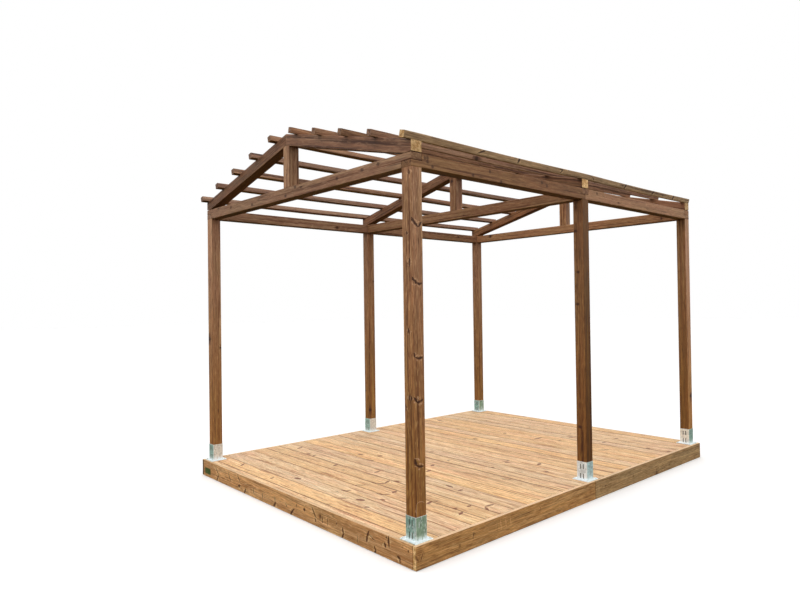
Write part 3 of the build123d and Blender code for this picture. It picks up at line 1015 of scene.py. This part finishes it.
# %% Lay the deck boards
deck_low, deck_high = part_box("deck_boards")
board_width = 0.145
board_pitch = 0.150
board_thickness = 0.028
end_slack = 0.001
deck_length = deck_high[0] - deck_low[0] - 2 * end_slack
board_middle_z = deck_high[2] - board_thickness / 2
whole_boards = int((deck_high[1] - deck_low[1]) / board_pitch)
first_board_y = deck_high[1] - board_width / 2
ripped_width = (deck_high[1] - whole_boards * board_pitch) - deck_low[1] - end_slack
ripped_y = deck_low[1] + end_slack + ripped_width / 2
board_sizes = {
    "Thickness": board_thickness, "Length": deck_length, "Edge radius": 0.0032,
    "Pith spread": (20.0, 0.05, 0.03), "Pith middle": (0.0, 0.0, 0.075), "Finish": deck_finish,
}
whole = run_tree(row, row_ids, "whole_boards", {
    **board_sizes, "Width": board_width, "Count": whole_boards, "Unevenness": 0.0009, "Seed": 274,
    "Start": (0.0, first_board_y, board_middle_z), "Step": (0.0, -board_pitch, 0.0),
})
ripped = run_tree(row, row_ids, "ripped_board", {
    **board_sizes, "Width": ripped_width, "Count": 1, "Unevenness": 0.0, "Seed": 5,
    "Start": (0.0, ripped_y, board_middle_z), "Step": (0.0, 0.0, 0.0),
})
deck = joined([whole, ripped], "deck_board_row")
deck.visible_diffuse = False
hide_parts("deck_boards")
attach(deck, "root")
print(whole_boards, "whole boards and one of", round(ripped_width * 1000), "mm")

# %% [markdown]
# The purlins are laid by the same tree, turned to the slope of each side of the roof. Between the
# trusses they sag by up to 6 mm, as slender timber does in time.

# %% Lay the purlins
purlin_section = 0.045
purlin_low, purlin_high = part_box("purlin_right_1")
king_post_boxes = [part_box(f"king_post_{place}") for place in places]
truss_places = [(low[1] + high[1]) / 2 for low, high in king_post_boxes]
middle_truss_y = truss_places[1]
truss_step = truss_places[2] - middle_truss_y


def purlin_row(name, side, sign, first_number, count, finish, seed):
    """Lay some neighbouring purlins of one side by the measured places of the first and the last."""
    centres = []
    for number in (1, 5):
        centres.append(Vector([(low + high) / 2 for low, high in zip(*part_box(f"purlin_{side}_{number}"))]))
    step = (centres[1] - centres[0]) / 4
    lean = Matrix.Rotation(sign * pitch, 3, "Y") @ Matrix.Rotation(math.pi / 2, 3, "Z")
    mesh = run_tree(row, row_ids, name, {
        "Width": purlin_section, "Thickness": purlin_section, "Length": purlin_high[1] - purlin_low[1],
        "Edge radius": 0.003, "Count": count, "Start": tuple(centres[0] + step * (first_number - 1)),
        "Step": tuple(step), "Turn": tuple(lean.to_euler()), "Pith spread": (20.0, 0.04, 0.04),
        "Pith middle": (0.0, 0.0, 0.0), "Unevenness": 0.0, "Seed": seed, "Finish": finish,
        "Sections": 25, "Sag": 0.006, "Bay": truss_step, "Bay start": middle_truss_y - centres[0].y,
    })
    purlins = joined([mesh], name)
    numbers = range(first_number, first_number + count)
    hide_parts(*[f"purlin_{side}_{number}" for number in numbers])
    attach(purlins, "root")
    print(name, "has", count, "purlins and", len(purlins.data.polygons), "faces")


purlin_row("purlins_right", "right", 1, 1, 4, purlin_finish, 32)
purlin_row("purlin_edge_right", "right", 1, 5, 1, edge_purlin_finish, 40)
purlin_row("purlins_left", "left", -1, 1, 5, purlin_finish, 30)

# %% [markdown]
# The shoes are folded from steel and dipped in molten zinc. The zinc freezes in crystals a
# centimetre or two across, called spangle, each with its own sheen. Their solids already have the
# folds, the slots and the plate, so they stay, and only get this finish.

# %% Galvanise the shoes


def zinc_finish(name, front, side, top, soiled=0.5, splashed=0.8):
    """Spangled zinc whose faces take painted reflections: one colour each for front, side and top faces."""
    finish, shader = new_finish(name)
    tree = finish.node_tree
    place = lay(tree, "ShaderNodeTexCoord").outputs["Object"]
    wobble = cloudy(stretched(place, 60, 60, 60), detail=2.0).outputs[1]
    bent = vector_sum("MULTIPLY_ADD", wobble, (0.008, 0.008, 0.008), place)
    spangle = follow("ShaderNodeTexVoronoi", {"Vector": bent, "Scale": 62.0}, voronoi_dimensions="3D")
    crystal = follow("ShaderNodeSeparateColor", {0: spangle.outputs["Color"]}).outputs
    grime = cloud(place, (24, 24, 11), detail=5.0, roughness=0.62)
    facing = parts_of(lay(tree, "ShaderNodeNewGeometry").outputs["True Normal"])
    sideways = more_than(absolute(facing[0]), 0.7)
    upward = more_than(facing[2], 0.7)
    # Painted reflections: front, side and top faces each take the colour of what they mirror.
    by_side = blended(sideways, (*front, 1), (*side, 1))
    by_top = blended(upward, by_side, (*top, 1))
    bright = times_plus(crystal[0], 0.45, 0.84)
    sparkling = scaled(by_top, bright)
    dull_share = times(fade(grime, 0.50, 0.66), times_plus(upward, -0.8 * soiled, soiled))
    dulled = blended(dull_share, sparkling, (0.15, 0.21, 0.17, 1))
    drips = cloud(place, (85, 85, 30), detail=4.0, roughness=0.6)
    streaky = blended(fade(drips, 0.54, 0.63, 0.0, splashed), dulled, (0.80, 0.88, 0.88, 1))
    above = parts_of(place)["Z"]
    # The sleeve turns paler and bluer towards the plate.
    whiter_near_plate = times(fade(above, 0.205, 0.150), fade(drips, 0.40, 0.55, 0.25, 0.9))
    whitened_near_plate = blended(whiter_near_plate, streaky, (0.86, 0.93, 0.97, 1))
    # Painted highlight: the sleeve's top rim and its rounded fold corners are lightened to near white.
    folded = times(absolute(facing[0]), absolute(facing[1]))
    near_rim = fade(above, 0.2945, 0.2965)
    painted_highlight = larger(near_rim, fade(folded, 0.1, 0.3))
    rimmed = blended(times(painted_highlight, 0.7), whitened_near_plate, (0.92, 0.97, 0.96, 1))
    facets = times(crystal[2], 0.0001)
    feed(shader, {
        "Base Color": rimmed, "Metallic": 0.35,
        "Roughness": times_plus(crystal[1], 0.2, times_plus(grime, 0.2, 0.28)),
        "Normal": follow("ShaderNodeBump", {"Height": facets, "Strength": 1.0, "Distance": 1.0}).outputs[0],
    })
    return finish


# Painted reflections: green where a face mirrors the lawn, pale beige and blue where it mirrors sky.
sky_reflection = (0.84, 0.93, 0.98)
lawn_reflection = (0.29, 0.47, 0.42)
pale_reflection = (0.79, 0.74, 0.66)
sky_blue = (0.52, 0.72, 0.75)
lawn_reflection_zinc = zinc_finish("galvanised_lawn_reflection", lawn_reflection, (0.31, 0.45, 0.32), sky_reflection)
pale_reflection_zinc = zinc_finish("galvanised_pale_reflection", (0.79, 0.83, 0.86), sky_blue, sky_reflection, 0.15, 0.4)
back_zinc = zinc_finish("galvanised_back", pale_reflection, lawn_reflection, sky_reflection, 0.15, 0.4)
left_zinc = zinc_finish("galvanised_left", (0.36, 0.56, 0.50), (0.71, 0.67, 0.61), sky_reflection, 0.15, 0.4)
shoe_finishes = {
    "post_shoe_right_front": lawn_reflection_zinc, "post_shoe_right_middle": pale_reflection_zinc,
    "post_shoe_right_back": back_zinc, "post_shoe_left_front": left_zinc,
    "post_shoe_left_middle": left_zinc, "post_shoe_left_back": lawn_reflection_zinc,
}
for shoe_name, finish in shoe_finishes.items():
    shoe = solids[shoe_name]
    shoe.data.materials.clear()
    shoe.data.materials.append(finish)
print(len(shoe_finishes), "shoes galvanised")

# %% [markdown]
# Each shoe's plate is held down by four hexagon screws with washers, and its sleeve is welded to
# the plate all round. Both repeat under every post, so one tree lays them on a grid of posts:
# the screws on the corners of a smaller grid, the weld along a square line with rounded corners.

# %% Screw and weld the shoes down
hardware, hardware_ids, asked = new_tree("shoe_hardware", {
    "Posts across": 2.81, "Posts along": 3.81, "Middle": (0, 0, 0), "Screw spacing": 0.120,
    "Washer radius": 0.012, "Head radius": 0.0075, "Head height": 0.0055, "Sleeve width": 0.095,
    "Weld radius": 0.0025, "Seed": 3, "Finish": (),
})


def moved(geometry, shift):
    """Move a geometry by a vector."""
    return shaped("Transform", {"Geometry": geometry, "Translation": shift})


def gathered(*pieces):
    """Join some geometries."""
    node = lay(pieces[0].id_data, "GeometryNodeJoinGeometry")
    for piece in pieces:
        feed(node, {0: piece})
    return node.outputs[0]


def grid_of(wide, deep, across, along):
    """Points on a flat grid."""
    return shaped("MeshGrid", {"Size X": wide, "Size Y": deep, "Vertices X": across, "Vertices Y": along})


washer_thickness = 0.0018
washer_shape = {"Vertices": 20, "Radius": asked["Washer radius"], "Depth": washer_thickness}
washer = moved(shaped("MeshCylinder", washer_shape), (0, 0, washer_thickness / 2))
head_shape = {"Vertices": 6, "Radius": asked["Head radius"], "Depth": asked["Head height"]}
head_rise = vector_of(z=times_plus(asked["Head height"], 0.5, washer_thickness))
head = moved(shaped("MeshCylinder", head_shape), head_rise)
crown_shape = {
    "Vertices": 18, "Radius Top": times(asked["Head radius"], 0.66),
    "Radius Bottom": times(asked["Head radius"], 0.84), "Depth": 0.0008,
}
crown_rise = vector_of(z=plus(asked["Head height"], washer_thickness))
crown = moved(shaped("MeshCone", crown_shape), crown_rise)
corners = grid_of(asked["Screw spacing"], asked["Screw spacing"], 2, 2)
post_grid = grid_of(asked["Posts across"], asked["Posts along"], 2, 3)
post_spots = moved(post_grid, asked["Middle"])
corner_spots = shaped("InstanceOnPoints", {"Points": post_spots, "Instance": corners})
screw_turn = random_vector((0, 0, 0), (0.03, 0.03, 6.28), asked["Seed"])
screw_feeds = {
    "Points": shaped("RealizeInstances", {0: corner_spots}),
    "Instance": gathered(washer, head, crown), "Rotation": rotation(screw_turn),
}
screws_laid = shaped("InstanceOnPoints", screw_feeds)

# The weld: a ring of beads that swell and shrink
weld_square = {"Width": asked["Sleeve width"], "Height": asked["Sleeve width"]}
weld_path = shaped("CurvePrimitiveQuadrilateral", weld_square)
weld_round = shaped("FilletCurve", {"Curve": weld_path, "Radius": 0.005, "Count": 4}, mode="POLY")
weld_beads = shaped("ResampleCurve", {"Curve": weld_round, "Length": 0.0022}, mode="LENGTH")
bead_wave = sine(times(lay(hardware, "GeometryNodeInputIndex").outputs[0], 2.1))
bead_swell = times_plus(bead_wave, 0.22, 1.0)
weld_swollen = shaped("SetCurveRadius", {"Curve": weld_beads, "Radius": bead_swell})
bead_round = {"Resolution": 6, "Radius": asked["Weld radius"]}
weld_feeds = {
    "Curve": weld_swollen, "Profile Curve": shaped("CurvePrimitiveCircle", bead_round), "Scale": bead_swell,
}
weld = shaped("CurveToMesh", weld_feeds)
welds_laid = shaped("InstanceOnPoints", {"Points": post_spots, "Instance": weld})
finished(gathered(screws_laid, welds_laid), asked["Finish"])

plate_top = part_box("post_shoe_right_front")[0][2] + 0.004
screw_zinc = zinc_finish("galvanised_hardware", (0.5, 0.55, 0.55), (0.5, 0.55, 0.55), (0.66, 0.70, 0.70))
shoe_screws = joined([run_tree(hardware, hardware_ids, "shoe_screws", {
    "Middle": (0.0, 0.005, plate_top), "Finish": screw_zinc,
})], "shoe_screws_and_welds")
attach(shoe_screws, "root")
print("24 screws and 6 welds:", len(shoe_screws.data.polygons), "faces")

# %% [markdown]
# Two small countersunk screws hold every board on every joist. Their heads are coated in a tan
# that nearly hides them, and a grid of joists by boards says where they go.

# %% Screw the boards down
fixing, fixing_ids, wanted = new_tree("board_screws", {
    "Across": 2.899, "Along": 3.75, "Joists": 9, "Boards": 26, "Middle": (0, 0, 0),
    "Pair spacing": 0.090, "Head radius": 0.004, "Seed": 8, "Finish": (),
})
dish_shape = {
    "Vertices": 12, "Radius Top": wanted["Head radius"], "Depth": 0.0012,
    "Radius Bottom": times(wanted["Head radius"], 0.7),
}
dish = shaped("MeshCone", dish_shape)
socket_shape = {"Vertices": 6, "Radius": times(wanted["Head radius"], 0.4), "Depth": 0.0003}
driver_socket = moved(shaped("MeshCylinder", socket_shape), (0, 0, 0.0013))
small_screw = gathered(dish, driver_socket)
board_grid = grid_of(wanted["Across"], wanted["Along"], wanted["Joists"], wanted["Boards"])
crossings = moved(board_grid, wanted["Middle"])
pair_start = vector_of(y=times(times(wanted["Pair spacing"], 0.5), -1.0))
pair_feeds = {"Count": 2, "Start Location": pair_start, "Offset": vector_of(y=wanted["Pair spacing"])}
pair_line = shaped("MeshLine", pair_feeds, mode="OFFSET")
pairs = shaped("InstanceOnPoints", {"Points": crossings, "Instance": pair_line})
real_pairs = shaped("RealizeInstances", {0: pairs})
strayed = random_vector((-0.004, -0.003, 0), (0.004, 0.003, 0), wanted["Seed"])
stray_pairs = shaped("SetPosition", {"Geometry": real_pairs, "Offset": strayed})
spin = rotation(random_vector((0, 0, 0), (0, 0, 6.28), wanted["Seed"]))
driven_feeds = {"Points": stray_pairs, "Instance": small_screw, "Rotation": spin}
finished(shaped("InstanceOnPoints", driven_feeds), wanted["Finish"])

tan_coat, coat_shader = new_finish("tan_screw_coat")
coat_place = lay(tan_coat.node_tree, "ShaderNodeTexCoord").outputs["Object"]
coat_wear = fade(cloud(coat_place, (400, 400, 400), detail=3.0), 0.45, 0.65)
coat_colour = blended(coat_wear, (0.34, 0.20, 0.10, 1), (0.20, 0.12, 0.07, 1))
feed(coat_shader, {"Base Color": coat_colour, "Roughness": 0.45, "Metallic": 0.3})
middle_board_y = first_board_y - board_pitch * (whole_boards - 1) / 2
board_screws = joined([run_tree(fixing, fixing_ids, "board_screws", {
    "Along": board_pitch * (whole_boards - 1), "Boards": whole_boards,
    "Middle": (0.0, middle_board_y, deck_high[2] - 0.0010), "Finish": tan_coat,
})], "board_screws")
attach(board_screws, "root")
print(whole_boards * 9 * 2, "board screws:", len(board_screws.data.polygons), "faces")

# %% [markdown]
# A small green plate is fixed near the left end of the front fascia. It is left bare: a thin
# pressed plate with rounded corners, a shallow raised rim and two pins.

# %% Fix the bare plate
plate_shape = bmesh.new()
plate_low = Vector((-1.438, -1.9962, 0.030))
plate_high = Vector((-1.322, -1.9950, 0.084))
bmesh.ops.create_cube(plate_shape, size=1.0)
plate_size = plate_high - plate_low
for vertex in plate_shape.verts:
    vertex.co = Vector([c * s for c, s in zip(vertex.co, plate_size)]) + (plate_low + plate_high) / 2
corner_edges = [e for e in plate_shape.edges if abs((e.verts[0].co - e.verts[1].co).y) > 0.0005]
bmesh.ops.bevel(plate_shape, geom=corner_edges, offset=0.006, segments=4, profile=0.5, affect="EDGES")
front_faces = [f for f in plate_shape.faces if f.normal.y < -0.9]
bmesh.ops.inset_region(plate_shape, faces=front_faces, thickness=0.0035, depth=0.0)
bmesh.ops.translate(plate_shape, verts=list({v for f in front_faces for v in f.verts}), vec=(0, 0.0005, 0))
for side_x in (-1.4335, -1.3265):
    pin = Matrix.Translation((side_x, -1.9960, 0.057)) @ Matrix.Rotation(math.pi / 2, 4, "X")
    bmesh.ops.create_cone(
        plate_shape, cap_ends=True, segments=12, radius1=0.0022, radius2=0.0016, depth=0.0014, matrix=pin
    )
plate_mesh = bpy.data.meshes.new("bare_plate")
plate_shape.to_mesh(plate_mesh)
plate_shape.free()
green_enamel, enamel_shader = new_finish("green_enamel")
enamel_place = lay(green_enamel.node_tree, "ShaderNodeTexCoord").outputs["Object"]
enamel_cloud = cloud(enamel_place, (45, 45, 45), detail=4.0, roughness=0.6)
enamel_wear = fade(enamel_cloud, 0.4, 0.68)
enamel_colour = blended(enamel_wear, (0.050, 0.092, 0.016, 1), (0.110, 0.150, 0.038, 1))
enamel_rough = fade(enamel_cloud, 0.3, 0.7, 0.3, 0.6)
feed(enamel_shader, {"Base Color": enamel_colour, "Roughness": enamel_rough})
plate_mesh.materials.append(green_enamel)
bare_plate = bpy.data.objects.new("bare_plate", plate_mesh)
scene.collection.objects.link(bare_plate)
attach(bare_plate, "root")
print("bare plate", [round(v, 3) for v in plate_size])
